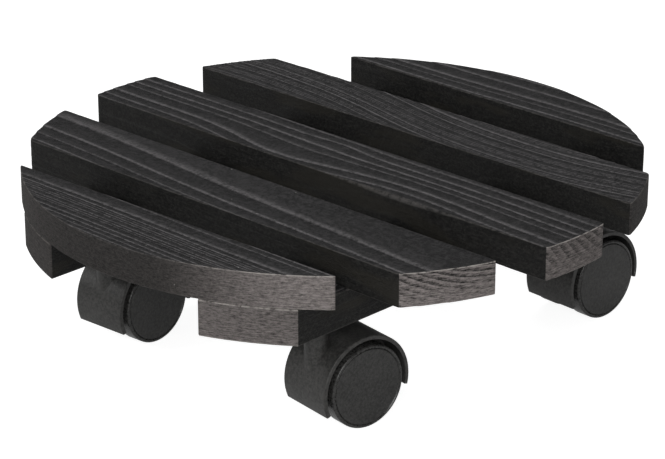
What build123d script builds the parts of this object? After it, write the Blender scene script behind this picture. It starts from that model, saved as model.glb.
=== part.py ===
from build123d import *

import os
from math import cos, radians, sin, sqrt

# A round plant caddy: five pine slats on two cross battens, on four hooded twin-wheel casters.
# Lengths are in millimetres and angles in degrees. The origin is on the floor under the middle
# of the deck. X runs along the slats, Y runs across them from the front rim to the back rim.

# Deck
deck_radius = 150.0
slat_thickness = 16.0
batten_thickness = 17.5
batten_width = 40.0
arris = 0.8

# Slats, laid by hand, so neither quite even nor quite parallel: each inner slat lies about halfway
# between its neighbours, off by its shift, and the rim slats are what the saw left of their boards
slat_width = 40.8
back_slat_width = 37.4
rim_board_width = 60.0
front_rim_depth = 39.5
back_rim_depth = 38.0
front_shift = -1.75
middle_shift = -0.8
back_shift = -0.7
front_rim_turn = 1.7
front_turn = 0.25
middle_turn = 0.1
back_turn = 0.0
back_rim_turn = -0.7

# Battens, each set in from the pointed ends of the back rim slat
batten_left_inset = 18.3
batten_right_inset = 8.0

# Wood screws that hold the slats, driven up through the battens
slat_screw_radius = 1.75
slat_screw_head_radius = 3.5
slat_screw_spread = 16.0
slat_screw_edge = 7.5
slat_screw_cover = 5.5

# Screws that hold the caster plates
plate_screw_radius = 1.75
plate_screw_head_radius = 3.2
plate_screw_head_height = 1.5
plate_screw_cover = 5.5

# Cross recess in every screw head
recess_span = 3.6
recess_width = 0.8
recess_depth = 1.1

# Caster plate
plate_size = 32.0
plate_thickness = 2.0
plate_corner_radius = 3.0
plate_edge_chamfer = 0.3
plate_hole_inset = 4.5
plate_hole_radius = 2.1

# Caster: how far each stands in from its batten's end and off its batten's middle, and how far
# it is turned at rest
front_left_setback = 35.0
front_right_setback = 32.7
back_left_setback = 37.0
back_right_setback = 35.2
front_left_offset = -2.0
front_right_offset = -0.75
back_left_offset = -1.0
back_right_offset = 0.75
front_left_turn = 2.8
front_right_turn = -8.5
back_left_turn = -5.0
back_right_turn = -3.5

# Kingpin, thrust washer and retaining ring
kingpin_radius = 3.0
kingpin_land = 0.45
kingpin_end = 1.05
kingpin_end_chamfer = 0.5
groove_depth = 0.65
washer_thickness = 0.8
ring_radius = 4.4
ring_thickness = 0.8
ring_mouth = 3.6

# Housing
trail = 17.0
neck_radius = 5.75
neck_rise = 8.8
neck_drop = 4.0
hood_gap = 2.4
hood_wall = 1.9
hood_front_angle = 203.5
hood_back_angle = -13.0
hood_edge_radius = 0.5
web_thickness = 6.0
axle_boss_radius = 6.0
axle_boss_width = 11.8

# Axle
axle_radius = 2.5
axle_chamfer = 0.4

# Wheels
wheel_radius = 20.0
wheel_track = 32.0
wheel_stand_out = 1.0
tyre_neck_gap = 1.15
tyre_wall = 1.75
tyre_shoulder = 1.0
tyre_lip_chamfer = 0.45
tyre_key_depth = 0.6
tyre_key_width = 3.0
rim_wall = 2.2
disc_thickness = 2.4
disc_edge_radius = 0.45
hub_radius = 5.6
bead_setback = 2.1
bead_width = 0.9
bead_height = 0.3
rib_count = 6
rib_thickness = 1.2
rib_setback = 1.0
rib_root = 0.5

# Fits
press_clearance = 0.02
bedding_clearance = 0.05
running_clearance = 0.08
swivel_clearance = 0.1
bead_clearance = 0.15
floating_clearance = 0.3

# Heights above the floor
hood_radius = wheel_radius + hood_gap + hood_wall
neck_top = wheel_radius + hood_radius + neck_rise
neck_foot = wheel_radius - neck_drop
washer_underside = neck_top + swivel_clearance
plate_underside = washer_underside + washer_thickness
plate_top = plate_underside + plate_thickness
slat_underside = plate_top + batten_thickness
deck_top = slat_underside + slat_thickness
ring_top = neck_foot - floating_clearance
ring_underside = ring_top - ring_thickness
kingpin_foot = ring_underside - bedding_clearance - kingpin_end

# Edges of the slats across the deck
front_rim_edge = front_rim_depth - deck_radius
back_rim_edge = deck_radius - back_rim_depth
middle_low = middle_shift - slat_width / 2
middle_high = middle_shift + slat_width / 2
front_middle = (front_rim_edge + middle_low) / 2 + front_shift
back_middle = (middle_high + back_rim_edge) / 2 + back_shift
front_low = front_middle - slat_width / 2
front_high = front_middle + slat_width / 2
back_low = back_middle - back_slat_width / 2
back_high = back_middle + back_slat_width / 2

# Name, low edge, high edge, turn, and where the slat's row of screws runs
slats = [
    ("slat_front_rim", front_rim_edge - rim_board_width, front_rim_edge, front_rim_turn,
     front_rim_edge - slat_screw_edge),
    ("slat_front", front_low, front_high, front_turn, front_high - slat_screw_edge),
    ("slat_middle", middle_low, middle_high, middle_turn, middle_shift),
    ("slat_back", back_low, back_high, back_turn, back_low + slat_screw_edge),
    ("slat_back_rim", back_rim_edge, back_rim_edge + rim_board_width, back_rim_turn,
     back_rim_edge + slat_screw_edge),
]

# The outer edge, the middle and the reach of each batten
rim_half_chord = sqrt(deck_radius**2 - back_rim_edge**2)
left_edge = rim_half_chord - batten_left_inset
right_edge = rim_half_chord - batten_right_inset
battens = {"left": batten_width / 2 - left_edge, "right": right_edge - batten_width / 2}
left_reach = sqrt(deck_radius**2 - left_edge**2)
right_reach = sqrt(deck_radius**2 - right_edge**2)

# End and side of the deck, place of the swivel axis, and turn about it at rest
casters = [
    ("front", "left", battens["left"] + front_left_offset, front_left_setback - left_reach, front_left_turn),
    ("front", "right", battens["right"] + front_right_offset, front_right_setback - right_reach, front_right_turn),
    ("back", "left", battens["left"] + back_left_offset, left_reach - back_left_setback, back_left_turn),
    ("back", "right", battens["right"] + back_right_offset, right_reach - back_right_setback, back_right_turn),
]


def screw_pair(batten_x, row_y):
    """The two screws where a slat crosses a batten."""
    return [(batten_x + offset, row_y) for offset in (-slat_screw_spread / 2, slat_screw_spread / 2)]


def plate_screw_places(stem_x, stem_y):
    """The four screws of a caster's plate."""
    half = plate_size / 2 - plate_hole_inset
    return [(stem_x + i * half, stem_y + j * half) for i in (-1, 1) for j in (-1, 1)]


def upwards(places, height):
    """Places on an underside, turned so that a hole there runs up into the wood."""
    return [Location((x, y, height), (180, 0, 0)) for x, y in places]


pieces = []

# Slats: a board sawn to the deck's circle, edges eased, pilot holes from below
slat_screw_length = batten_thickness + slat_thickness - slat_screw_cover
pilot_radius = slat_screw_radius + bedding_clearance
pilot_depth = slat_thickness - slat_screw_cover + floating_clearance
for name, low, high, turn, screw_row in slats:
    with BuildPart() as slat:
        with BuildSketch(Plane.XY.offset(slat_underside)):
            Circle(deck_radius)
            with Locations((0, (low + high) / 2)):
                Rectangle(3 * deck_radius, high - low, rotation=turn, mode=Mode.INTERSECT)
        extrude(amount=slat_thickness)
        fillet(slat.edges(), radius=arris)
        row = [place for batten_x in battens.values() for place in screw_pair(batten_x, screw_row)]
        with Locations(*upwards(row, slat_underside)):
            Hole(pilot_radius, depth=pilot_depth)
    slat.part.label = name
    pieces.append(slat.part)

# Battens: the same circle, countersunk for the slat screws and drilled for the plate screws
plate_screw_length = plate_thickness + batten_thickness - plate_screw_cover
plate_pilot_radius = plate_screw_radius + bedding_clearance
plate_pilot_depth = batten_thickness - plate_screw_cover + floating_clearance
for side_name, batten_x in battens.items():
    with BuildPart() as batten:
        with BuildSketch(Plane.XY.offset(plate_top)):
            Circle(deck_radius)
            with Locations((batten_x, 0)):
                Rectangle(batten_width, 3 * deck_radius, mode=Mode.INTERSECT)
        extrude(amount=batten_thickness)
        fillet(batten.edges(), radius=arris)
        crossings = [place for row in slats for place in screw_pair(batten_x, row[-1])]
        with Locations(*upwards(crossings, plate_top)):
            CounterSinkHole(pilot_radius, slat_screw_head_radius + bedding_clearance, counter_sink_angle=90)
        for end_name, caster_side, stem_x, stem_y, turn in casters:
            if caster_side == side_name:
                with Locations(*upwards(plate_screw_places(stem_x, stem_y), plate_top)):
                    Hole(plate_pilot_radius, depth=plate_pilot_depth)
    batten.part.label = f"batten_{side_name}"
    pieces.append(batten.part)

# Slat screws: one countersunk screw with a cross recess, repeated at every crossing
head_depth = slat_screw_head_radius - slat_screw_radius
with BuildPart() as slat_screw:
    with BuildSketch(Plane.XZ):
        Polygon(
            (0, 0),
            (slat_screw_head_radius, 0),
            (slat_screw_radius, head_depth),
            (slat_screw_radius, slat_screw_length - 2 * slat_screw_radius),
            (0, slat_screw_length),
            align=None,
        )
    revolve(axis=Axis.Z)
    with BuildSketch(Plane.XY):
        Rectangle(recess_span, recess_width)
        Rectangle(recess_width, recess_span)
    extrude(amount=recess_depth, mode=Mode.SUBTRACT)
with BuildPart() as slat_screws:
    for batten_x in battens.values():
        for row in slats:
            with Locations(*[(x, y, plate_top) for x, y in screw_pair(batten_x, row[-1])]):
                add(slat_screw.part)
slat_screws.part.label = "slat_screws"
pieces.append(slat_screws.part)

# Plate screws: one pan-head screw with a cross recess, four under each caster plate
with BuildPart() as plate_screw:
    with BuildSketch(Plane.XZ):
        with BuildLine():
            EllipticalCenterArc(
                (0, 0), plate_screw_head_radius, plate_screw_head_height, start_angle=270, arc_size=90
            )
            Polyline(
                (plate_screw_head_radius, 0),
                (plate_screw_radius, 0),
                (plate_screw_radius, plate_screw_length - 2 * plate_screw_radius),
                (0, plate_screw_length),
                (0, -plate_screw_head_height),
            )
        make_face()
    revolve(axis=Axis.Z)
    with BuildSketch(Plane.XY.offset(-plate_screw_head_height)):
        Rectangle(recess_span, recess_width)
        Rectangle(recess_width, recess_span)
    extrude(amount=recess_depth, mode=Mode.SUBTRACT)
with BuildPart() as caster_screws:
    for end_name, side_name, stem_x, stem_y, turn in casters:
        with Locations(*[(x, y, plate_underside) for x, y in plate_screw_places(stem_x, stem_y)]):
            add(plate_screw.part)
caster_screws.part.label = "caster_screws"
pieces.append(caster_screws.part)

# Casters: everything about one is placed from its swivel axis and its turn at rest
kingpin_head_depth = plate_thickness - kingpin_land
kingpin_head_radius = kingpin_radius + kingpin_head_depth
kingpin_waist = kingpin_radius - groove_depth
hub_inset = axle_boss_width / 2 + floating_clearance
wheel_face = wheel_track / 2
hood_width = wheel_track - 2 * wheel_stand_out
hood_sweep = hood_front_angle - hood_back_angle
bore_end = wheel_face - disc_thickness - floating_clearance
axle_half_length = bore_end - floating_clearance
bore_radius = axle_radius + running_clearance
tyre_inset = neck_radius + tyre_neck_gap
tyre_inner_radius = wheel_radius - tyre_wall
core_radius = tyre_inner_radius - bedding_clearance
cavity_radius = core_radius - rim_wall
key_low = (tyre_inset + wheel_face - tyre_key_width) / 2
key_high = key_low + tyre_key_width
bead_low = hub_inset + bead_setback
bead_high = bead_low + bead_width
axle_groove_low = bead_low - bead_clearance
axle_groove_high = bead_high + bead_clearance
axle_groove_radius = axle_radius - bead_height - bead_clearance
for end_name, side_name, stem_x, stem_y, turn in casters:
    caster = f"caster_{end_name}_{side_name}"
    along_axle = (cos(radians(turn)), sin(radians(turn)), 0)
    backward = (-sin(radians(turn)), cos(radians(turn)), 0)
    axle_x = stem_x + trail * backward[0]
    axle_y = stem_y + trail * backward[1]
    axle_centre = (axle_x, axle_y, wheel_radius)
    side = Plane(origin=axle_centre, x_dir=backward, z_dir=along_axle)
    stem = Plane(origin=(stem_x, stem_y, 0), x_dir=along_axle, z_dir=(0, 0, 1))
    stem_section = Plane(origin=(stem_x, stem_y, 0), x_dir=(1, 0, 0), z_dir=(0, -1, 0))
    swivel_axis = Axis((stem_x, stem_y, 0), (0, 0, 1))
    axle_axis = Axis(axle_centre, along_axle)

    # Plate
    with BuildPart() as plate:
        with BuildSketch(Plane(origin=(stem_x, stem_y, plate_underside))):
            RectangleRounded(plate_size, plate_size, plate_corner_radius)
        extrude(amount=plate_thickness)
        with Locations(*[(x, y, plate_top) for x, y in plate_screw_places(stem_x, stem_y)]):
            Hole(plate_hole_radius)
        with Locations((stem_x, stem_y, plate_top)):
            CounterSinkHole(
                kingpin_radius + press_clearance,
                kingpin_head_radius + press_clearance,
                counter_sink_angle=90,
            )
        chamfer(plate.faces().sort_by(Axis.Z)[0].outer_wire().edges(), length=plate_edge_chamfer)
    plate.part.label = f"{caster}_plate"
    pieces.append(plate.part)

    # Kingpin, riveted flush with the plate's top
    with BuildPart() as kingpin:
        with BuildSketch(stem_section):
            Polygon(
                (0, plate_top),
                (kingpin_head_radius, plate_top),
                (kingpin_radius, plate_top - kingpin_head_depth),
                (kingpin_radius, ring_top + bedding_clearance),
                (kingpin_waist, ring_top + bedding_clearance),
                (kingpin_waist, ring_underside - bedding_clearance),
                (kingpin_radius, ring_underside - bedding_clearance),
                (kingpin_radius, kingpin_foot + kingpin_end_chamfer),
                (kingpin_radius - kingpin_end_chamfer, kingpin_foot),
                (0, kingpin_foot),
                align=None,
            )
        revolve(axis=swivel_axis)
    kingpin.part.label = f"{caster}_kingpin"
    pieces.append(kingpin.part)

    # Thrust washer
    with BuildPart() as washer:
        with BuildSketch(stem.offset(washer_underside)):
            Circle(neck_radius)
            Circle(kingpin_radius + bedding_clearance, mode=Mode.SUBTRACT)
        extrude(amount=washer_thickness)
    washer.part.label = f"{caster}_thrust_washer"
    pieces.append(washer.part)

    # Retaining ring, open at one side
    with BuildPart() as ring:
        with BuildSketch(stem.offset(ring_underside)):
            Circle(ring_radius)
            Circle(kingpin_waist + bedding_clearance, mode=Mode.SUBTRACT)
            with Locations((0, ring_radius)):
                Rectangle(ring_mouth, 2 * ring_radius, mode=Mode.SUBTRACT)
        extrude(amount=ring_thickness)
    ring.part.label = f"{caster}_retaining_ring"
    pieces.append(ring.part)

    # Housing: web and neck first, so that the ring's pocket leaves the hood whole
    with BuildPart() as housing:
        with BuildSketch(side):
            with BuildLine():
                web_arc = CenterArc((0, 0), hood_radius - hood_wall / 2, hood_back_angle, hood_sweep)
                Line(web_arc @ 1, web_arc @ 0)
            make_face()
        extrude(amount=web_thickness / 2, both=True)
        with BuildSketch(stem.offset(neck_foot)):
            Circle(neck_radius)
        extrude(amount=neck_top - neck_foot)
        with BuildSketch(stem):
            Circle(ring_radius + floating_clearance)
        extrude(amount=neck_foot, mode=Mode.SUBTRACT)
        with BuildSketch(side):
            with BuildLine():
                outer_arc = CenterArc((0, 0), hood_radius, hood_back_angle, hood_sweep)
                inner_arc = CenterArc((0, 0), hood_radius - hood_wall, hood_back_angle, hood_sweep)
                Line(outer_arc @ 0, inner_arc @ 0)
                Line(outer_arc @ 1, inner_arc @ 1)
            make_face()
        extrude(amount=hood_width / 2, both=True)
        hood_ends = housing.edges().filter_by(GeomType.CIRCLE).filter_by(
            lambda edge: abs(edge.radius - hood_radius) < 0.01
        )
        fillet(hood_ends, radius=hood_edge_radius)
        with BuildSketch(side):
            Circle(axle_boss_radius)
        extrude(amount=axle_boss_width / 2, both=True)
        with BuildSketch(side):
            Circle(axle_radius + press_clearance)
        extrude(amount=axle_boss_width, both=True, mode=Mode.SUBTRACT)
        with Locations((stem_x, stem_y, neck_top)):
            Hole(kingpin_radius + swivel_clearance, depth=neck_top - neck_foot)
    housing.part.label = f"{caster}_housing"
    pieces.append(housing.part)

    # Axle, pressed through the web and grooved for the wheels' beads
    axle_section = Plane(origin=axle_centre, x_dir=along_axle, z_dir=[-c for c in backward])
    with BuildPart() as axle:
        with BuildSketch(axle_section):
            Polygon(
                (0, 0),
                (0, axle_radius),
                (axle_groove_low, axle_radius),
                (axle_groove_low, axle_groove_radius),
                (axle_groove_high, axle_groove_radius),
                (axle_groove_high, axle_radius),
                (axle_half_length - axle_chamfer, axle_radius),
                (axle_half_length, axle_radius - axle_chamfer),
                (axle_half_length, 0),
                align=None,
            )
        revolve(axis=axle_axis)
        mirror(about=Plane(origin=axle_centre, z_dir=along_axle))
    axle.part.label = f"{caster}_axle"
    pieces.append(axle.part)

    # Wheels: a hollow core with a flat outer disc, and a tyre keyed into it
    for hand, out in (("left", -1), ("right", 1)):
        outward = [out * c for c in along_axle]
        section = Plane(origin=axle_centre, x_dir=outward, z_dir=[-out * c for c in backward])
        with BuildPart() as wheel:
            with BuildSketch(section):
                Polygon(
                    (bore_end, 0),
                    (wheel_face, 0),
                    (wheel_face, core_radius),
                    (key_high + bedding_clearance, core_radius),
                    (key_high + bedding_clearance, core_radius - tyre_key_depth),
                    (key_low - bedding_clearance, core_radius - tyre_key_depth),
                    (key_low - bedding_clearance, core_radius),
                    (tyre_inset, core_radius),
                    (tyre_inset, cavity_radius),
                    (wheel_face - disc_thickness, cavity_radius),
                    (wheel_face - disc_thickness, hub_radius),
                    (hub_inset, hub_radius),
                    (hub_inset, bore_radius),
                    (bead_low, bore_radius),
                    (bead_low, bore_radius - bead_height),
                    (bead_high, bore_radius - bead_height),
                    (bead_high, bore_radius),
                    (bore_end, bore_radius),
                    align=None,
                )
            revolve(axis=axle_axis)
            face_rim = wheel.edges().filter_by(GeomType.CIRCLE).sort_by(Axis(axle_centre, outward))[-1]
            fillet(face_rim, radius=disc_edge_radius)
            rib_plane = Plane(origin=axle_centre, x_dir=backward, z_dir=outward)
            with BuildSketch(rib_plane.offset(tyre_inset + rib_setback)):
                with PolarLocations((hub_radius + cavity_radius) / 2, rib_count):
                    Rectangle(cavity_radius - hub_radius + 2 * rib_root, rib_thickness)
            extrude(until=Until.NEXT)
        wheel.part.label = f"{caster}_{hand}_wheel"
        pieces.append(wheel.part)

        with BuildPart() as tyre:
            with BuildSketch(section):
                Polygon(
                    (tyre_inset, tyre_inner_radius),
                    (tyre_inset, wheel_radius),
                    (wheel_face, wheel_radius),
                    (wheel_face, tyre_inner_radius + tyre_lip_chamfer),
                    (wheel_face - tyre_lip_chamfer, tyre_inner_radius),
                    (key_high, tyre_inner_radius),
                    (key_high, tyre_inner_radius - tyre_key_depth),
                    (key_low, tyre_inner_radius - tyre_key_depth),
                    (key_low, tyre_inner_radius),
                    align=None,
                )
            revolve(axis=axle_axis)
            shoulders = tyre.edges().filter_by(GeomType.CIRCLE).filter_by(
                lambda edge: abs(edge.radius - wheel_radius) < 0.01
            )
            fillet(shoulders, radius=tyre_shoulder)
        tyre.part.label = f"{caster}_{hand}_tyre"
        pieces.append(tyre.part)

os.makedirs("parts", exist_ok=True)
for piece in pieces:
    export_step(piece, f"parts/{piece.label}.step")
print(len(pieces), "nodes; deck top at", deck_top)
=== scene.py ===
"""Dresses a round plant caddy: five brushed pine slats, stained black, on four hooded casters.

Lengths are millimetres wherever a name or a docstring gives no unit, and metres once they reach a mesh.
"""

import logging
import math
from dataclasses import dataclass
from enum import Enum

import bpy
import numpy as np
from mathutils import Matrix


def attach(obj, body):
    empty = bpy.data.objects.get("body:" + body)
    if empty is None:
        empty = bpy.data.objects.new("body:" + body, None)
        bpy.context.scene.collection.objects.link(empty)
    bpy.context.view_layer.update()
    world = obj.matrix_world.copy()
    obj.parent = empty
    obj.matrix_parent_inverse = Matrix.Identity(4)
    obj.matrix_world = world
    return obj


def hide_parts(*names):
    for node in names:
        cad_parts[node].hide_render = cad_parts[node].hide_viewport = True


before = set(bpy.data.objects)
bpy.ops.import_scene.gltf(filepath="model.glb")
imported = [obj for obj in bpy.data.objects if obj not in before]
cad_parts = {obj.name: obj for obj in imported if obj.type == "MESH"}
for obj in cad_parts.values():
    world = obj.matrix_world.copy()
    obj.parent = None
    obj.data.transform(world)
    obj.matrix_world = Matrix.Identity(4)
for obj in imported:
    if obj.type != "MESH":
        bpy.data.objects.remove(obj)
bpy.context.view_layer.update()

log = logging.getLogger("plant_caddy")

MM = 0.001
PER_MM = (1 / MM,) * 3
TAU = 2 * math.pi

Colour = tuple[float, float, float]
Point = tuple[float, float, float]
Socket = bpy.types.NodeSocket


class Value:
    """A socket that carries a number. Arithmetic on it adds Math nodes."""

    __array_ufunc__ = None

    def __init__(self, recipe: "Recipe", socket: Socket) -> None:
        """Keeps the socket and the recipe whose nodes it belongs to."""
        self.recipe = recipe
        self.socket = socket

    def math(self, operation: str, *others: "Value | float", clamp: bool = False) -> "Value":
        """Adds one Math node.

        Args:
            operation: The node's operation.
            others: The second and third inputs, as values or numbers.
            clamp: Whether the result is kept between 0 and 1.

        Returns:
            The node's result.
        """
        inputs = dict(enumerate((self, *others)))
        made = self.recipe.node("ShaderNodeMath", {"operation": operation, "use_clamp": clamp}, inputs)
        return Value(self.recipe, made.outputs[0])

    def __add__(self, other: "Value | float") -> "Value":
        """This value plus another."""
        return self.math("ADD", other)

    __radd__ = __add__

    def __mul__(self, other: "Value | float") -> "Value":
        """This value times another."""
        return self.math("MULTIPLY", other)

    __rmul__ = __mul__

    def __sub__(self, other: "Value | float") -> "Value":
        """This value less another."""
        return self.math("SUBTRACT", other)

    def __rsub__(self, other: float) -> "Value":
        """A number less this value."""
        return (self * -1).math("ADD", other)

    def __truediv__(self, other: "Value | float") -> "Value":
        """This value over another."""
        return self.math("DIVIDE", other)

    def __abs__(self) -> "Value":
        """This value without its sign."""
        return self.math("ABSOLUTE")

    def clamped(self) -> "Value":
        """This value kept between 0 and 1."""
        return self.math("ADD", 0.0, clamp=True)


Number = np.ndarray | Value


def sine(angle: Number) -> Number:
    """The sine of an angle in radians."""
    return angle.math("SINE") if isinstance(angle, Value) else np.sin(angle)


def root(amount: Number) -> Number:
    """The square root."""
    return amount.math("SQRT") if isinstance(amount, Value) else np.sqrt(amount)


def fraction(amount: Number) -> Number:
    """What is left above the next lower whole number."""
    return amount.math("FRACT") if isinstance(amount, Value) else amount - np.floor(amount)


def within(amount: Number, low: float, high: float) -> Number:
    """An amount kept between two numbers."""
    if isinstance(amount, Value):
        return amount.math("MAXIMUM", low).math("MINIMUM", high)
    return np.clip(amount, low, high)


def bell(distance: Number) -> Number:
    """1 at no distance, about a third at a distance of 1, and then nothing."""
    squared = distance * distance * -1
    return squared.math("EXPONENT") if isinstance(squared, Value) else np.exp(squared)


def ramp(amount: Number, low: float, high: float) -> Number:
    """A smooth step.

    Args:
        amount: What the step follows.
        low: Where it leaves 0.
        high: Where it reaches 1.

    Returns:
        From 0 to 1.
    """
    if isinstance(amount, Value):
        return amount.recipe.step(amount, low, high)
    share = np.clip((amount - low) / (high - low), 0, 1)
    return share * share * (3 - 2 * share)


class Recipe:
    """A material in the making: its nodes, and short ways to add them."""

    def __init__(self, name: str) -> None:
        """Starts a material.

        Args:
            name: The material's name.
        """
        self.material = bpy.data.materials.new(name)
        self.material.use_nodes = True
        self.tree = self.material.node_tree
        self.tree.nodes.clear()
        self.shader = self.node("ShaderNodeBsdfPrincipled")
        self.output = self.node("ShaderNodeOutputMaterial", inputs={"Surface": self.shader.outputs["BSDF"]})

    def node(self, kind: str, settings: dict | None = None, inputs: dict | None = None) -> bpy.types.Node:
        """Adds a node.

        Args:
            kind: The node's type.
            settings: Its properties, set first.
            inputs: A number, vector, socket or value for each input, by name or index.

        Returns:
            The node.
        """
        made = self.tree.nodes.new(kind)
        for key, setting in (settings or {}).items():
            setattr(made, key, setting)
        for key, given in (inputs or {}).items():
            self.feed(made.inputs[key], given)
        return made

    def feed(self, socket: Socket, given: Value | Socket | float | tuple) -> None:
        """Links a value or socket into an input, or sets the input's own number or colour."""
        if isinstance(given, Value):
            given = given.socket
        if isinstance(given, Socket):
            self.tree.links.new(given, socket)
        elif isinstance(given, tuple) and socket.type == "RGBA":
            socket.default_value = (*given, 1.0)
        else:
            socket.default_value = given

    def surface(self, **inputs: Value | Socket | float | tuple) -> bpy.types.Material:
        """Feeds the surface shader.

        Args:
            inputs: Its inputs, with underscores for spaces.

        Returns:
            The finished material.
        """
        for key, given in inputs.items():
            self.feed(self.shader.inputs[key.replace("_", " ")], given)
        return self.material

    def step(self, amount: Value, low: float, high: float) -> Value:
        """A smooth step from 0 at low to 1 at high."""
        settings = {"interpolation_type": "SMOOTHSTEP"}
        return Value(self, self.node("ShaderNodeMapRange", settings, {0: amount, 1: low, 2: high}).outputs[0])

    def place(self) -> Socket:
        """The place on the piece, in millimetres."""
        return self.stretched(self.node("ShaderNodeTexCoord").outputs["Object"], PER_MM)

    def attribute(self, name: str) -> Socket:
        """A vector that the mesh carries."""
        return self.node("ShaderNodeAttribute", {"attribute_name": name}).outputs["Vector"]

    def parts(self, vector: Socket) -> list[Value]:
        """A vector's three numbers."""
        made = self.node("ShaderNodeSeparateXYZ", inputs={0: vector})
        return [Value(self, socket) for socket in made.outputs]

    def joined(self, x: Value | float, y: Value | float, z: Value | float = 0.0) -> Socket:
        """Three numbers as a vector."""
        return self.node("ShaderNodeCombineXYZ", inputs={0: x, 1: y, 2: z}).outputs[0]

    def stretched(self, vector: Socket, factors: Point) -> Socket:
        """A vector times another, number by number."""
        made = self.node("ShaderNodeVectorMath", {"operation": "MULTIPLY"}, {0: vector, 1: factors})
        return made.outputs[0]

    def noise(self, vector: Socket, scale: float = 1.0, detail: float = 2.0, roughness: float = 0.5) -> Value:
        """Soft noise from 0 to 1.

        Args:
            vector: Where it is read.
            scale: How many swells there are to one unit of the vector.
            detail: How many finer layers it has.
            roughness: How strong the finer layers are.

        Returns:
            The noise.
        """
        inputs = {"Vector": vector, "Scale": scale, "Detail": detail, "Roughness": roughness}
        return Value(self, self.node("ShaderNodeTexNoise", inputs=inputs).outputs[0])

    def cells(self, vector: Socket) -> Value:
        """The distance to the nearest of some scattered points, one to each cube of side 1."""
        inputs = {"Vector": vector, "Scale": 1.0}
        return Value(self, self.node("ShaderNodeTexVoronoi", inputs=inputs).outputs[0])

    def blend(self, share: Value, first: Colour | Socket, second: Colour | Socket) -> Socket:
        """A colour between two others.

        Args:
            share: How much of the second there is.
            first: The colour at 0.
            second: The colour at 1.

        Returns:
            The colour.
        """
        settings = {"data_type": "RGBA", "clamp_factor": True}
        return self.node("ShaderNodeMix", settings, {0: share, 6: first, 7: second}).outputs[2]

    def bump(self, height: Value, depth: float, strength: float = 1.0) -> Socket:
        """A normal bent by a height.

        Args:
            height: The height, from 0 to 1.
            depth: How far apart 0 and 1 are.
            strength: How much of the bend is kept.

        Returns:
            The normal.
        """
        inputs = {"Height": height, "Distance": depth * MM, "Strength": strength}
        return self.node("ShaderNodeBump", inputs=inputs).outputs["Normal"]


class Way(Enum):
    """Which way a board lies: the directions of its length and its width."""

    ALONG_X = ((1, 0), (0, 1))
    ALONG_Y = ((0, 1), (-1, 0))


@dataclass(frozen=True)
class Swerve:
    """A stretch where the grain bends aside and comes back, as it does past a knot."""

    reach: float
    along: float
    length: float
    across: float
    width: float

    def near(self, along: Number, across: Number) -> Number:
        """How close a place is: 1 at the middle of the stretch, fading out past its length and width."""
        return bell((along - self.along) / self.length) * bell((across - self.across) / self.width)


@dataclass(frozen=True)
class Grain:
    """How the growth rings run through one board. The heart of the log lies behind it.

    years gives the widths of the rings from the distance first on, and every other ring is as wide as
    ring. line is the share of a ring that its hard line takes up, and band is the pitch of the bands on
    the sawn ends. drift, sink and bow tilt and bend the rings along the board.
    """

    heart_across: float
    heart_height: float
    ring: float
    first: float = 0.0
    years: tuple[float, ...] = ()
    line: float = 0.35
    band: float = 3.0
    uneven: float = 0.0
    drift: float = 0.0
    sink: float = 0.0
    bow: float = 0.0
    waves: tuple[tuple[float, float, float], ...] = ()
    swerves: tuple[Swerve, ...] = ()

    def distance(self, along: Number, across: Number, height: Number) -> Number:
        """How far a place is from the heart.

        Args:
            along: The place along the board.
            across: The place across it.
            height: The place's height.

        Returns:
            The distance, which wanders as the grain does.
        """
        aside = along * self.drift
        for reach, length, start in self.waves:
            aside = aside + sine(along * (TAU / length) + across * (1 / length) + start) * reach
        for swerve in self.swerves:
            aside = aside - swerve.near(along, across) * swerve.reach
        out = within(across - self.heart_across + aside, -math.inf, 0.0)
        up = height - self.heart_height + along * self.sink + along * along * self.bow
        return root(out * out + up * up)

    def rings(self, distance: Number) -> Number:
        """Counts the rings.

        Args:
            distance: How far it is to the heart.

        Returns:
            The number of rings, with its fraction.
        """
        start = self.first
        count = (distance - within(distance, start, start + sum(self.years))) / self.ring
        for width in self.years:
            count = count + within((distance - start) / width, 0.0, 1.0)
            start += width
        return count + sine(count * 1.9) * self.uneven

    def proud(self, rings: Number) -> Number:
        """How far the wood stands up after brushing. Each ring hardens slowly and ends at once.

        Args:
            rings: The count of rings.

        Returns:
            From 0 in the soft wood to 1 in the hard.
        """
        share = fraction(rings)
        return ramp(share, 0.05, 0.9) * (1 - ramp(share, 0.93, 0.99))

    def crest_sheen(self, rings: Number) -> Number:
        """The hard line at the end of each ring, stronger in some than in others. The finish paints a sheen
        along it.

        Args:
            rings: The count of rings.

        Returns:
            Up to 1 on the line, and 0 elsewhere.
        """
        share = fraction(rings)
        strength = sine((rings - share) * 2.4) * 0.25 + 0.75
        return ramp(share, 1 - self.line, 0.93) * (1 - ramp(share, 0.93, 0.98)) * strength


@dataclass
class Timber:
    """A slat or batten: a strip of pine sawn to the deck's circle, with its place taken from the frame."""

    name: str
    node: str
    turn: float
    grain: Grain
    # How pale the sawn ends turn at the start and at the end of the length: partly stain lost from the end
    # grain, partly painted light that makes the ends on the lit side brighter.
    rub_and_light_left: float = 0.2
    rub_and_light_right: float = 0.8
    bands: float = 0.4
    way: Way = Way.ALONG_X

    def __post_init__(self) -> None:
        """Measures the strip in the frame."""
        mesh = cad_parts[self.node].data
        points = np.zeros(len(mesh.vertices) * 3)
        mesh.vertices.foreach_get("co", points)
        points = points.reshape(-1, 3) / MM
        turn = math.radians(self.turn)
        straight, sideways = (np.array(direction) for direction in self.way.value)
        self.length_way = math.cos(turn) * straight + math.sin(turn) * sideways
        self.width_way = math.cos(turn) * sideways - math.sin(turn) * straight
        across = points[:, :2] @ self.width_way
        self.circle = float(np.hypot(points[:, 0], points[:, 1]).max())
        self.low, self.high = float(across.min()), float(across.max())
        self.foot, self.top = float(points[:, 2].min()), float(points[:, 2].max())

    def reads(self, recipe: Recipe) -> tuple[Socket, Value, Value, Value]:
        """How the finish finds its way on the piece.

        Args:
            recipe: The finish in the making.

        Returns:
            The place along, across and up; how far a spot is on a sawn end, on a wall, and on a rounded edge.
        """
        raise NotImplementedError


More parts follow.
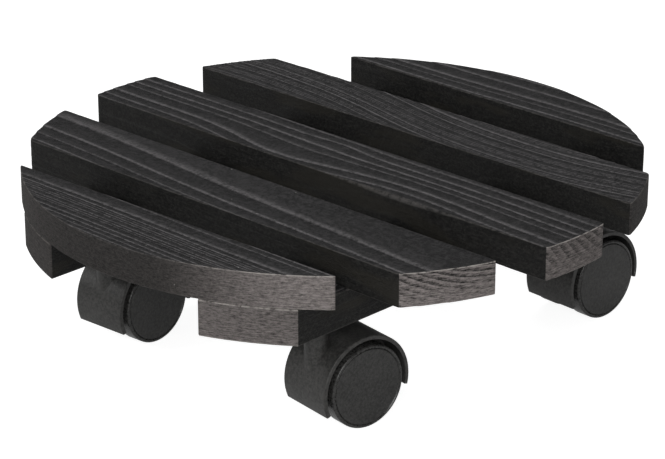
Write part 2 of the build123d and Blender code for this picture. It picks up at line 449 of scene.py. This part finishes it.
@dataclass
class Batten(Timber):
    """A cross batten, which keeps its shape from the frame."""

    way: Way = Way.ALONG_Y

    def reads(self, recipe: Recipe) -> tuple[Socket, Value, Value, Value]:
        """Works the batten's faces out from their directions. Its sawn ends look along it."""
        coordinates = recipe.node("ShaderNodeTexCoord")
        x, y, z = recipe.parts(recipe.stretched(coordinates.outputs["Object"], PER_MM))
        facing = recipe.parts(coordinates.outputs["Normal"])
        upright = 1 - abs(facing[2])
        end = ramp(abs(facing[1]), 0.2, 0.5)
        edge = (upright * (1 - upright) * 4).clamped()
        return recipe.joined(y, x * -1, z), end, ramp(upright, 0.0, 0.6) * (1 - end), edge

    def dress(self, pine: "StainedPine") -> None:
        """Gives the batten its finish."""
        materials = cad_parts[self.node].data.materials
        finish = pine.dress(self)
        materials.clear()
        materials.append(finish)
        log.info("%s: %s", self.node, finish.name)


@dataclass
class Board(Timber):
    """A slat whose brushed relief, eased edges and rounded corners are real geometry."""

    relief: float = 0.5
    arris: float = 0.5
    corner: float = 2.2
    row: float = 0.34
    column: float = 1.8
    fine_column: float = 0.25
    storey: float = 0.7
    apex_flat: float = 0.03
    edge_steps: int = 4
    wane: Swerve | None = None

    def reads(self, recipe: Recipe) -> tuple[Socket, Value, Value, Value]:
        """Reads what the mesh carries, which stays true where the relief has moved a point."""
        end, wall, edge = recipe.parts(recipe.attribute("board_faces"))
        return recipe.attribute("board_place"), end, wall, edge

    def build(self) -> bpy.types.Object:
        """Makes the board's mesh.

        Returns:
            The board.
        """
        u = self._steps(2 * math.sqrt(self.circle**2 - np.clip(0, self.low, self.high) ** 2))
        w = np.linspace(0, 1, int((self.high - self.low) / self.row))
        grid_u, grid_w = np.meshgrid(u, w)
        loop = self._loop(len(w), len(u))
        loop_u, loop_w = grid_u[loop], grid_w[loop]
        on_arc = ((loop_u == 0) | (loop_u == 1) | self._past_apex(loop_w)).astype(float)
        rounding = self._rounding(*self._plan(grid_u, grid_w, self.arris))
        over = np.linspace(0, 1, self.edge_steps + 1)[1:]

        sheets = [self._points(grid_u, grid_w, rounding, self.top)]
        size = rounding[loop]
        for share in over:
            slope = share * math.pi / 2
            inset, drop = size * (1 - math.sin(slope)), size * (1 - math.cos(slope))
            sheets.append(self._points(loop_u, loop_w, inset, self.top - drop, on_arc, share))
        storeys = int((self.top - self.foot) / self.storey)
        for share in np.linspace(0, 1, storeys + 1)[1:-1]:
            level = (self.top - size) * (1 - share) + (self.foot + self.arris) * share
            sheets.append(self._points(loop_u, loop_w, 0.0, level, on_arc, 1.0))
        for share in over[::-1]:
            slope = share * math.pi / 2
            inset, rise = self.arris * (1 - math.sin(slope)), self.arris * (1 - math.cos(slope))
            sheets.append(self._points(loop_u, loop_w, inset, self.foot + rise, on_arc, share))
        sheets.append(self._points(grid_u, grid_w, self.arris, self.foot))
        points = np.concatenate(sheets)
        faces = self._faces(grid_u.shape, loop, len(points))
        return self._carved(points, faces)

    def _steps(self, length: float) -> np.ndarray:
        """Shares of a length, close together at both ends."""
        places, step = [0.0], self.fine_column
        while places[-1] + step < length / 2:
            places.append(places[-1] + step)
            step = min(step * 1.35, self.column)
        half = np.array(places) / length
        return np.concatenate([half, 1 - half[::-1]])

    @staticmethod
    def _loop(rows: int, columns: int) -> tuple[np.ndarray, np.ndarray]:
        """The rows and columns of the grid's edge, once round."""
        row = [0] * (columns - 1) + list(range(rows - 1))
        row += [rows - 1] * (columns - 1) + list(range(rows - 1, 0, -1))
        column = list(range(columns - 1)) + [columns - 1] * (rows - 1)
        column += list(range(columns - 1, 0, -1)) + [0] * (rows - 1)
        return np.array(row), np.array(column)

    def _past_apex(self, w: np.ndarray) -> np.ndarray:
        """Whether a side is no more than the apex of a rim board's arc."""
        low_apex = (w == 0) & (self.low < self.arris - self.circle)
        high_apex = (w == 1) & (self.high > self.circle - self.arris)
        return low_apex | high_apex

    def _plan(self, u: np.ndarray, w: np.ndarray, inset: np.ndarray | float) -> tuple[np.ndarray, np.ndarray]:
        """Where shares of the length and of the width lie.

        Args:
            u: The share of the length.
            w: The share of the width.
            inset: How far the outline is drawn in.

        Returns:
            The places along and across the board.
        """
        radius = self.circle - inset
        low = np.maximum(self.low + inset, self.apex_flat - radius)
        high = np.minimum(self.high - inset, radius - self.apex_flat)
        across = low + (high - low) * w
        along = (2 * u - 1) * np.sqrt(radius**2 - across**2)
        for side, inward in ((self.low, 1), (self.high, -1)):
            if abs(side) < self.circle - self.arris:
                for hand in (-1, 1):
                    along, across = self._round_corner(along, across, side, inward, hand)
        return along, across

    def _round_corner(
        self, along: np.ndarray, across: np.ndarray, side: float, inward: int, hand: int
    ) -> tuple[np.ndarray, np.ndarray]:
        """Rounds one corner in plan, by drawing the square round it into a quarter of an ellipse.

        Args:
            along: Places along the board.
            across: Places across it.
            side: Where the straight side runs.
            inward: Which way the board lies from it.
            hand: Which end the corner is at.

        Returns:
            The places, moved.
        """
        reach = math.sqrt(self.circle**2 - side**2)
        side_way = np.array([-hand, 0.0])
        arc_way = inward * np.array([-hand * side, reach]) / self.circle
        offset = np.stack([along - hand * reach, across - side])
        from_arc, from_side = np.tensordot(np.linalg.inv(np.stack([side_way, arc_way], 1)), offset, 1)
        p = np.clip(1 - from_arc / self.corner, 0, 1)
        q = np.clip(1 - from_side / self.corner, 0, 1)
        near = (p > 0) & (q > 0)
        pulled_arc = np.where(near, p * (1 - np.sqrt(1 - q**2 / 2)), 0.0) * self.corner
        pulled_side = np.where(near, q * (1 - np.sqrt(1 - p**2 / 2)), 0.0) * self.corner
        along = along + pulled_arc * side_way[0] + pulled_side * arc_way[0]
        across = across + pulled_arc * side_way[1] + pulled_side * arc_way[1]
        return along, across

    def _rounding(self, along: np.ndarray, across: np.ndarray) -> np.ndarray:
        """How far the top's edge is rounded off: little in hard grain, more in soft, most in a wane."""
        soft = 1 - self.grain.proud(self.grain.rings(self.grain.distance(along, across, self.top)))
        size = self.arris * (0.7 + 0.6 * soft + 0.12 * np.sin(along * 0.53 + across))
        if self.wane is not None:
            size = size + self.wane.near(along, across) * self.wane.reach
        return size

    def _points(
        self,
        u: np.ndarray,
        w: np.ndarray,
        inset: np.ndarray | float,
        level: np.ndarray | float,
        on_arc: np.ndarray | float = 0.0,
        share: float = 0.0,
    ) -> np.ndarray:
        """Lays out points at one inset.

        Args:
            u: Each point's share of the length.
            w: Each point's share of the width.
            inset: How far the points are drawn in.
            level: Their height.
            on_arc: 1 for points on the sawn ends.
            share: How far over the rounded edge they are, from 0 on the flat to 1 on the wall.

        Returns:
            For each point its place along, across and up, and its shares of end, wall and edge.
        """
        along, across = self._plan(u, w, inset)
        nothing = np.zeros_like(along)
        edge = nothing + math.sin(math.pi * share)
        end = nothing + on_arc * share
        columns = (along, across, nothing + level, end, share - end, edge)
        return np.stack([column.ravel() for column in columns], 1)

    @staticmethod
    def _faces(shape: tuple[int, int], loop: tuple[np.ndarray, np.ndarray], total: int) -> np.ndarray:
        """Joins the top, the rings round the board and the underside with four-sided faces."""
        rows, columns = shape
        index = np.arange(rows * columns).reshape(rows, columns)
        top = np.stack([index[:-1, :-1], index[:-1, 1:], index[1:, 1:], index[1:, :-1]], -1).reshape(-1, 4)
        under_start = total - rows * columns
        round_top = index[loop]
        middle = np.arange(rows * columns, under_start).reshape(-1, len(round_top))
        rings = np.concatenate([round_top[None], middle, round_top[None] + under_start])
        upper, lower = rings[:-1], rings[1:]
        walls = np.stack([upper, lower, np.roll(lower, -1, 1), np.roll(upper, -1, 1)], -1).reshape(-1, 4)
        return np.concatenate([top, top[:, ::-1] + under_start, walls])

    def _carved(self, points: np.ndarray, faces: np.ndarray) -> bpy.types.Object:
        """Makes the object and brushes the soft wood out of it.

        Args:
            points: What _points gives, for the whole board.
            faces: The four points of each face.

        Returns:
            The board.
        """
        place, (end, wall) = points[:, :3], points[:, 3:5].T
        mesh = bpy.data.meshes.new(self.name)
        mesh.from_pydata((self._in_frame(place) * MM).tolist(), [], faces.tolist())
        normals = np.zeros(place.size)
        mesh.vertices.foreach_get("normal", normals)
        proud = self.grain.proud(self.grain.rings(self.grain.distance(*place.T)))
        from_side = np.minimum(place[:, 1] - self.low, self.high - place[:, 1])
        from_end = self.circle - np.hypot(place[:, 0], place[:, 1])
        inner = ramp(np.minimum(from_side, from_end), 0.4, 3.0)
        depth = self.relief * (0.35 + 0.65 * inner) * (1 - 0.8 * wall) * (1 - 0.5 * end)
        moved = self._in_frame(place) - normals.reshape(-1, 3) * (depth * (1 - proud))[:, None]
        moved[:, 2] = within(moved[:, 2], self.foot, self.top)
        mesh.vertices.foreach_set("co", (moved * MM).astype(np.float32).ravel())
        for name, values in (("board_place", place), ("board_faces", points[:, 3:])):
            layer = mesh.attributes.new(name, "FLOAT_VECTOR", "POINT")
            layer.data.foreach_set("vector", values.astype(np.float32).ravel())
        mesh.polygons.foreach_set("use_smooth", [True] * len(mesh.polygons))
        mesh.update()
        board = bpy.data.objects.new(self.name, mesh)
        bpy.context.scene.collection.objects.link(board)
        return board

    def _in_frame(self, place: np.ndarray) -> np.ndarray:
        """Places along, across and up as places in the frame."""
        flat = place[:, :1] * self.length_way + place[:, 1:2] * self.width_way
        return np.concatenate([flat, place[:, 2:3]], 1)


@dataclass(frozen=True)
class StainedPine:
    """Pine, brushed so that its hard grain stands proud, then stained black. Sawn ends are paler where the
    stain wore off, and painted lighter still on the lit side. Painted sheen lies on the hard grain lines,
    painted shade in the brushed hollows.

    fibres, flecks, patches and specks say how many of each there are to a millimetre along, across and up.
    """

    # The soft wood: dark where the stain soaked in, with painted shade in the brushed hollows.
    valley_and_shade: Colour = (0.008, 0.0078, 0.0081)
    slope: Colour = (0.046, 0.0443, 0.0452)
    # Painted sheen: the colour of the hard grain lines, bright as if they caught the light.
    crest_sheen: Colour = (0.145, 0.138, 0.141)
    thin_stain: Colour = (0.026, 0.0235, 0.0185)
    planed: Colour = (0.006, 0.0059, 0.0057)
    planed_light: Colour = (0.030, 0.029, 0.027)
    sawn_dark: Colour = (0.017, 0.0165, 0.0155)
    sawn_light: Colour = (0.36, 0.322, 0.31)
    worn: Colour = (0.42, 0.39, 0.365)
    dust: Colour = (0.4, 0.39, 0.37)
    fibres: Point = (0.09, 0.7, 0.9)
    flecks: Point = (0.7, 0.45, 0.9)
    patches: Point = (0.02, 0.08, 0.08)
    specks: Point = (0.06, 0.1, 0.1)

    def dress(self, timber: Timber) -> bpy.types.Material:
        """Makes the finish of one slat or batten.

        Args:
            timber: The piece, which has its own grain.

        Returns:
            The material.
        """
        recipe = Recipe(f"stained_pine_{timber.name}")
        place, end, wall, edge = timber.reads(recipe)
        along, across, height = recipe.parts(place)
        distance = timber.grain.distance(along, across, height)
        rings = timber.grain.rings(distance)
        proud, crest_sheen = timber.grain.proud(rings), timber.grain.crest_sheen(rings)
        fibre = recipe.noise(recipe.stretched(place, self.fibres), detail=6.0, roughness=0.8) - 0.5
        fleck = recipe.noise(recipe.stretched(place, self.flecks), detail=5.0, roughness=0.85) - 0.5
        patch = recipe.noise(recipe.stretched(place, self.patches))

        # Painted shade: the brushed hollows go darker, and the raised hard grain paler.
        raised = (proud * 0.4 + fibre * 2.5 + fleck * 7.0 + 0.24).clamped()
        # Painted sheen along the hard grain lines.
        lined_sheen = (crest_sheen * (fleck * 5.0 + fibre * 2.0 + 0.85)).clamped()
        scraped = (fibre * 2.0 + fleck * 6.0 + 0.32).clamped()
        face = recipe.blend(lined_sheen, recipe.blend(raised, self.valley_and_shade, self.slope), self.crest_sheen)
        side = recipe.blend(scraped, self.planed, self.planed_light)
        tinted = recipe.blend(ramp(patch, 0.5, 0.62) * 0.6, side, self.thin_stain)
        long_grain = recipe.blend(wall, face, tinted)

        rim = across.math("ARCTAN2", along) * timber.circle
        strokes = recipe.joined(rim * 0.22, height * 1.6)
        streak = recipe.noise(strokes, detail=5.0, roughness=0.75) - 0.5
        crossing = ramp(abs(along) / timber.circle, 0.15, 0.65)
        # Paler end grain where the cut crosses the grain, scaled at each end by a factor that is partly lost
        # stain and partly painted light on the lit side.
        right = ramp(along, -10.0, 10.0)
        rubbed_and_lit = crossing * (right * timber.rub_and_light_right + (1 - right) * timber.rub_and_light_left)
        band = timber.grain.proud(distance / timber.grain.band) * ramp(height, timber.foot - 4, timber.top)
        streaked = streak * 2.6 + fleck * 1.3 + 0.6 - band * timber.bands
        sawn = (rubbed_and_lit * streaked + fleck * 0.5 + streak * 0.3 + 0.07).clamped()
        colour = recipe.blend(end, long_grain, recipe.blend(sawn, self.sawn_dark, self.sawn_light))

        # Pale wood where the stain is worn from the eased edges, painted brighter on the sawn ends at the lit
        # side.
        chips = recipe.noise(place, 0.3, 4.0, 0.7)
        wear_and_light = edge * ramp(chips, 0.35, 0.55) * (rubbed_and_lit * 1.3 * ramp(end, 0.02, 0.3) + 0.12)
        colour = recipe.blend(wear_and_light.clamped(), colour, self.worn)
        specks = ramp(recipe.cells(recipe.stretched(place, self.specks)), 0.035, 0.015)
        colour = recipe.blend(specks * 0.7, colour, self.dust)

        pores = fibre * (1 - end) * 1.2 + fleck * (1 - end * 0.5) + streak * end * 1.5
        roughness = 0.62 - crest_sheen * 0.12 * (1 - end) + fleck * 0.3 + end * 0.1
        return recipe.surface(
            Base_Color=colour,
            Roughness=roughness.clamped(),
            Normal=recipe.bump(pores, 0.6, 0.9),
            Specular_IOR_Level=0.2,
        )


@dataclass(frozen=True)
class CasterPlastic:
    """Charcoal moulded plastic with a fine matt texture."""

    name: str
    colour: Colour = (0.043, 0.042, 0.0397)
    roughness: float = 0.5

    def dress(self) -> bpy.types.Material:
        """Makes the finish.

        Returns:
            The material.
        """
        recipe = Recipe(self.name)
        place = recipe.place()
        texture = recipe.noise(place, 0.75, 3.0, 0.7)
        cloud = recipe.noise(place, 0.09)
        shade = (texture - 0.5) * 3.5 + (cloud - 0.5) * 0.8 + 0.5
        dark = tuple(c * 0.55 for c in self.colour)
        light = tuple(c * 1.5 for c in self.colour)
        return recipe.surface(
            Base_Color=recipe.blend(shade.clamped(), dark, light),
            Roughness=self.roughness + (texture - 0.5) * 0.16,
            Normal=recipe.bump(texture, 0.12),
            Specular_IOR_Level=0.4,
        )


@dataclass(frozen=True)
class ZincSteel:
    """Bright zinc plate on pressed and turned steel."""

    name: str = "zinc_steel"
    colour: Colour = (0.5, 0.51, 0.53)

    def dress(self) -> bpy.types.Material:
        """Makes the finish.

        Returns:
            The material.
        """
        recipe = Recipe(self.name)
        place = recipe.place()
        bloom = recipe.noise(place, 0.35, 4.0, 0.6)
        dull = tuple(c * 0.62 for c in self.colour)
        return recipe.surface(
            Base_Color=recipe.blend(bloom, dull, self.colour),
            Metallic=1.0,
            Roughness=0.28 + bloom * 0.2,
            Normal=recipe.bump(recipe.noise(place, 3.0), 0.01),
        )


@dataclass(frozen=True)
class Nylon:
    """Off-white nylon, slightly waxy."""

    name: str = "nylon"
    colour: Colour = (0.62, 0.6, 0.55)

    def dress(self) -> bpy.types.Material:
        """Makes the finish.

        Returns:
            The material.
        """
        recipe = Recipe(self.name)
        place = recipe.place()
        swirl = recipe.noise(place, 0.5, 3.0)
        grey = tuple(c * 0.9 for c in self.colour)
        return recipe.surface(
            Base_Color=recipe.blend(swirl, grey, self.colour),
            Roughness=0.42 + (swirl - 0.5) * 0.1,
            Normal=recipe.bump(swirl, 0.02),
        )


@dataclass
class Deck:
    """The five slats on their two battens, and the screws that hold them."""

    pine: StainedPine = StainedPine()

    def boards(self) -> list[Board]:
        """The slats, from the front rim to the back rim, each with its own grain."""
        return [
            Board("board_front_rim", "slat_front_rim", 1.7,
                  Grain(-60.0, 54.5, 2.9, 63.3, (7.3, 2.6, 1.5, 1.5, 1.5, 2.9, 1.5, 1.5, 3.4), drift=0.03,
                        waves=((0.4, 190.0, 0.4),)),
                  relief=0.28, rub_and_light_left=0.12, rub_and_light_right=1.0, bands=0.0),
            Board("board_front", "slat_front", 0.25,
                  Grain(-43.5, 153.8, 4.0, 61.0, (6.5, 4.5, 3.8), line=0.26, band=2.7, sink=0.0154,
                        bow=0.0000592, waves=((5.7, 640.0, 0.79), (0.6, 170.0, 2.6))),
                  relief=0.5, rub_and_light_left=0.2, rub_and_light_right=1.15, bands=0.6),
            Board("board_middle", "slat_middle", 0.1,
                  Grain(60.0, 142.0, 5.0, 68.2, (4.6, 4.6, 4.0, 7.5, 5.5), band=4.2, drift=0.023,
                        waves=((0.6, 160.0, 1.0),),
                        swerves=(Swerve(-8.0, -26.0, 42.0, -20.0, 15.0), Swerve(4.0, 62.0, 40.0, -14.0, 14.0),
                                 Swerve(2.5, -6.0, 18.0, 12.0, 6.0))),
                  relief=0.35, rub_and_light_left=0.2, rub_and_light_right=0.8, bands=0.4,
                  wane=Swerve(2.0, 58.0, 30.0, -21.0, 7.0)),
            Board("board_back", "slat_back", 0.0,
                  Grain(140.0, 70.0, 2.3, uneven=0.4, waves=((11.5, 340.0, 0.3), (0.4, 97.0, 1.0))),
                  relief=0.22, rub_and_light_left=0.2, rub_and_light_right=0.1, bands=0.2),
            Board("board_back_rim", "slat_back_rim", -0.7,
                  Grain(190.0, 40.0, 5.0, 65.6, (7.0, 8.3, 4.0, 6.1), drift=-0.01,
                        waves=((0.6, 160.0, 2.2),)),
                  relief=0.25, rub_and_light_left=0.2, rub_and_light_right=0.1, bands=0.2),
        ]

    def battens(self) -> list[Batten]:
        """The battens. Their front ends are the ones at the left of their own length."""
        return [
            Batten("batten_left", "batten_left", 0.0, Grain(90.0, -20.0, 2.6, waves=((1.0, 170.0, 0.0),)),
                   rub_and_light_left=0.1, rub_and_light_right=0.4, bands=0.1),
            Batten("batten_right", "batten_right", 0.0, Grain(-40.0, 130.0, 2.9, waves=((1.0, 150.0, 1.0),)),
                   rub_and_light_left=0.66, rub_and_light_right=0.4, bands=0.1),
        ]

    def build(self) -> None:
        """Makes and dresses the slats, and dresses the battens."""
        for board in self.boards():
            made = board.build()
            made.data.materials.append(self.pine.dress(board))
            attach(made, "deck")
            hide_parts(board.node)
            log.info("%s: %d faces", made.name, len(made.data.polygons))
        for batten in self.battens():
            batten.dress(self.pine)


@dataclass
class Casters:
    """The four casters, whose pieces keep the shapes they have in the frame."""

    hood: CasterPlastic = CasterPlastic("hood_plastic", roughness=0.42)
    wheel: CasterPlastic = CasterPlastic("wheel_plastic", colour=(0.037, 0.0365, 0.035), roughness=0.45)
    tyre: CasterPlastic = CasterPlastic("tyre_plastic", colour=(0.036, 0.0355, 0.034), roughness=0.28)
    steel: ZincSteel = ZincSteel()
    nylon: Nylon = Nylon()

    def dress(self) -> None:
        """Gives every piece of the casters its finish."""
        finishes = {
            "_housing": self.hood.dress(),
            "_wheel": self.wheel.dress(),
            "_tyre": self.tyre.dress(),
            "_thrust_washer": self.nylon.dress(),
        }
        steel = self.steel.dress()
        for name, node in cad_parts.items():
            if name.startswith("slat") and name != "slat_screws" or name.startswith("batten"):
                continue
            finish = next((made for ending, made in finishes.items() if name.endswith(ending)), steel)
            node.data.materials.clear()
            node.data.materials.append(finish)
            log.info("%s: %s", name, finish.name)


@dataclass(frozen=True)
class Lamp:
    """A square soft lamp: its place and size in metres, and its power in watts."""

    name: str
    place: Point
    size: float
    power: float


@dataclass
class Studio:
    """A pale floor, soft lamps and the camera."""

    azimuth: float = 43.875
    elevation: float = 21.999
    distance: float = 1170.9
    target: Point = (66.05, -70.5, 89.5)
    lens: float = 142.35
    floor_size: float = 12.0
    floor_colour: Colour = (0.45, 0.45, 0.45)
    glow: float = 0.9
    shine: float = 0.35
    sky: float = 0.14
    aim_height: float = 0.06
    lamps: tuple[Lamp, ...] = (
        Lamp("front", (0.68, -0.68, 0.46), 0.5, 4.6),
        Lamp("left", (-0.75, -1.2, 0.75), 0.3, 4.5),
        Lamp("overhead", (-0.5, 0.5, 1.8), 1.4, 17.0),
    )

    def build(self) -> None:
        """Makes the floor, the light and the camera."""
        scene = bpy.context.scene
        scene.view_settings.view_transform = "Standard"
        self._camera(scene)
        self._floor()
        self._sky(scene)
        for lamp in self.lamps:
            self._hang(lamp)

    def _camera(self, scene: bpy.types.Scene) -> None:
        """Places the camera where the photograph was taken from."""
        data = bpy.data.cameras.new("camera")
        data.sensor_width = 36.0
        data.lens = self.lens
        data.clip_start, data.clip_end = 0.05, 50.0
        camera = bpy.data.objects.new("camera", data)
        scene.collection.objects.link(camera)
        az, el = math.radians(self.azimuth), math.radians(self.elevation)
        back = (math.sin(az) * math.cos(el), -math.cos(az) * math.cos(el), math.sin(el))
        camera.location = [(t + self.distance * b) * MM for t, b in zip(self.target, back)]
        camera.rotation_euler = (math.pi / 2 - el, 0.0, az)
        scene.camera = camera

    def _floor(self) -> None:
        """Lays a pale floor that shows white and keeps the shadow."""
        half = self.floor_size / 2
        mesh = bpy.data.meshes.new("floor")
        corners = [(-half, -half, 0), (half, -half, 0), (half, half, 0), (-half, half, 0)]
        mesh.from_pydata(corners, [], [(0, 1, 2, 3)])
        floor = bpy.data.objects.new("floor", mesh)
        bpy.context.scene.collection.objects.link(floor)
        recipe = Recipe("pale_floor")
        recipe.surface(Base_Color=self.floor_colour, Roughness=0.9)
        glow = recipe.node("ShaderNodeEmission", inputs={"Color": (1.0, 1.0, 1.0), "Strength": self.glow})
        added = recipe.node("ShaderNodeAddShader", inputs={0: recipe.shader.outputs[0], 1: glow.outputs[0]})
        inputs = {0: self._seen(recipe), 1: recipe.shader.outputs[0], 2: added.outputs[0]}
        mixed = recipe.node("ShaderNodeMixShader", inputs=inputs)
        recipe.feed(recipe.output.inputs["Surface"], mixed.outputs[0])
        mesh.materials.append(recipe.material)

    def _seen(self, recipe: Recipe) -> Value:
        """1 for what the camera sees, straight or through glass, and less for what shines in the object."""
        path = recipe.node("ShaderNodeLightPath")
        kinds = ("Camera", "Glossy", "Transmission")
        straight, glossy, through = (Value(recipe, path.outputs[f"Is {kind} Ray"]) for kind in kinds)
        return (straight + glossy * self.shine + through).clamped()

    def _sky(self, scene: bpy.types.Scene) -> None:
        """Lights the object evenly from all round."""
        world = bpy.data.worlds.new("soft_light")
        world.use_nodes = True
        background = world.node_tree.nodes["Background"]
        background.inputs["Color"].default_value = (1.0, 1.0, 1.0, 1.0)
        background.inputs["Strength"].default_value = self.sky
        scene.world = world

    def _hang(self, lamp: Lamp) -> None:
        """Hangs a lamp and aims it at the deck."""
        data = bpy.data.lights.new(lamp.name, "AREA")
        data.size, data.energy = lamp.size, lamp.power
        hung = bpy.data.objects.new(lamp.name, data)
        bpy.context.scene.collection.objects.link(hung)
        hung.location = lamp.place
        away = hung.location.copy()
        away.z -= self.aim_height
        hung.rotation_euler = away.to_track_quat("Z", "Y").to_euler()


def main() -> None:
    """Builds the plant caddy and its studio."""
    logging.basicConfig(level=logging.INFO, format="%(name)s: %(message)s")
    Studio().build()
    Deck().build()
    Casters().dress()


if __name__ == "__main__":
    main()
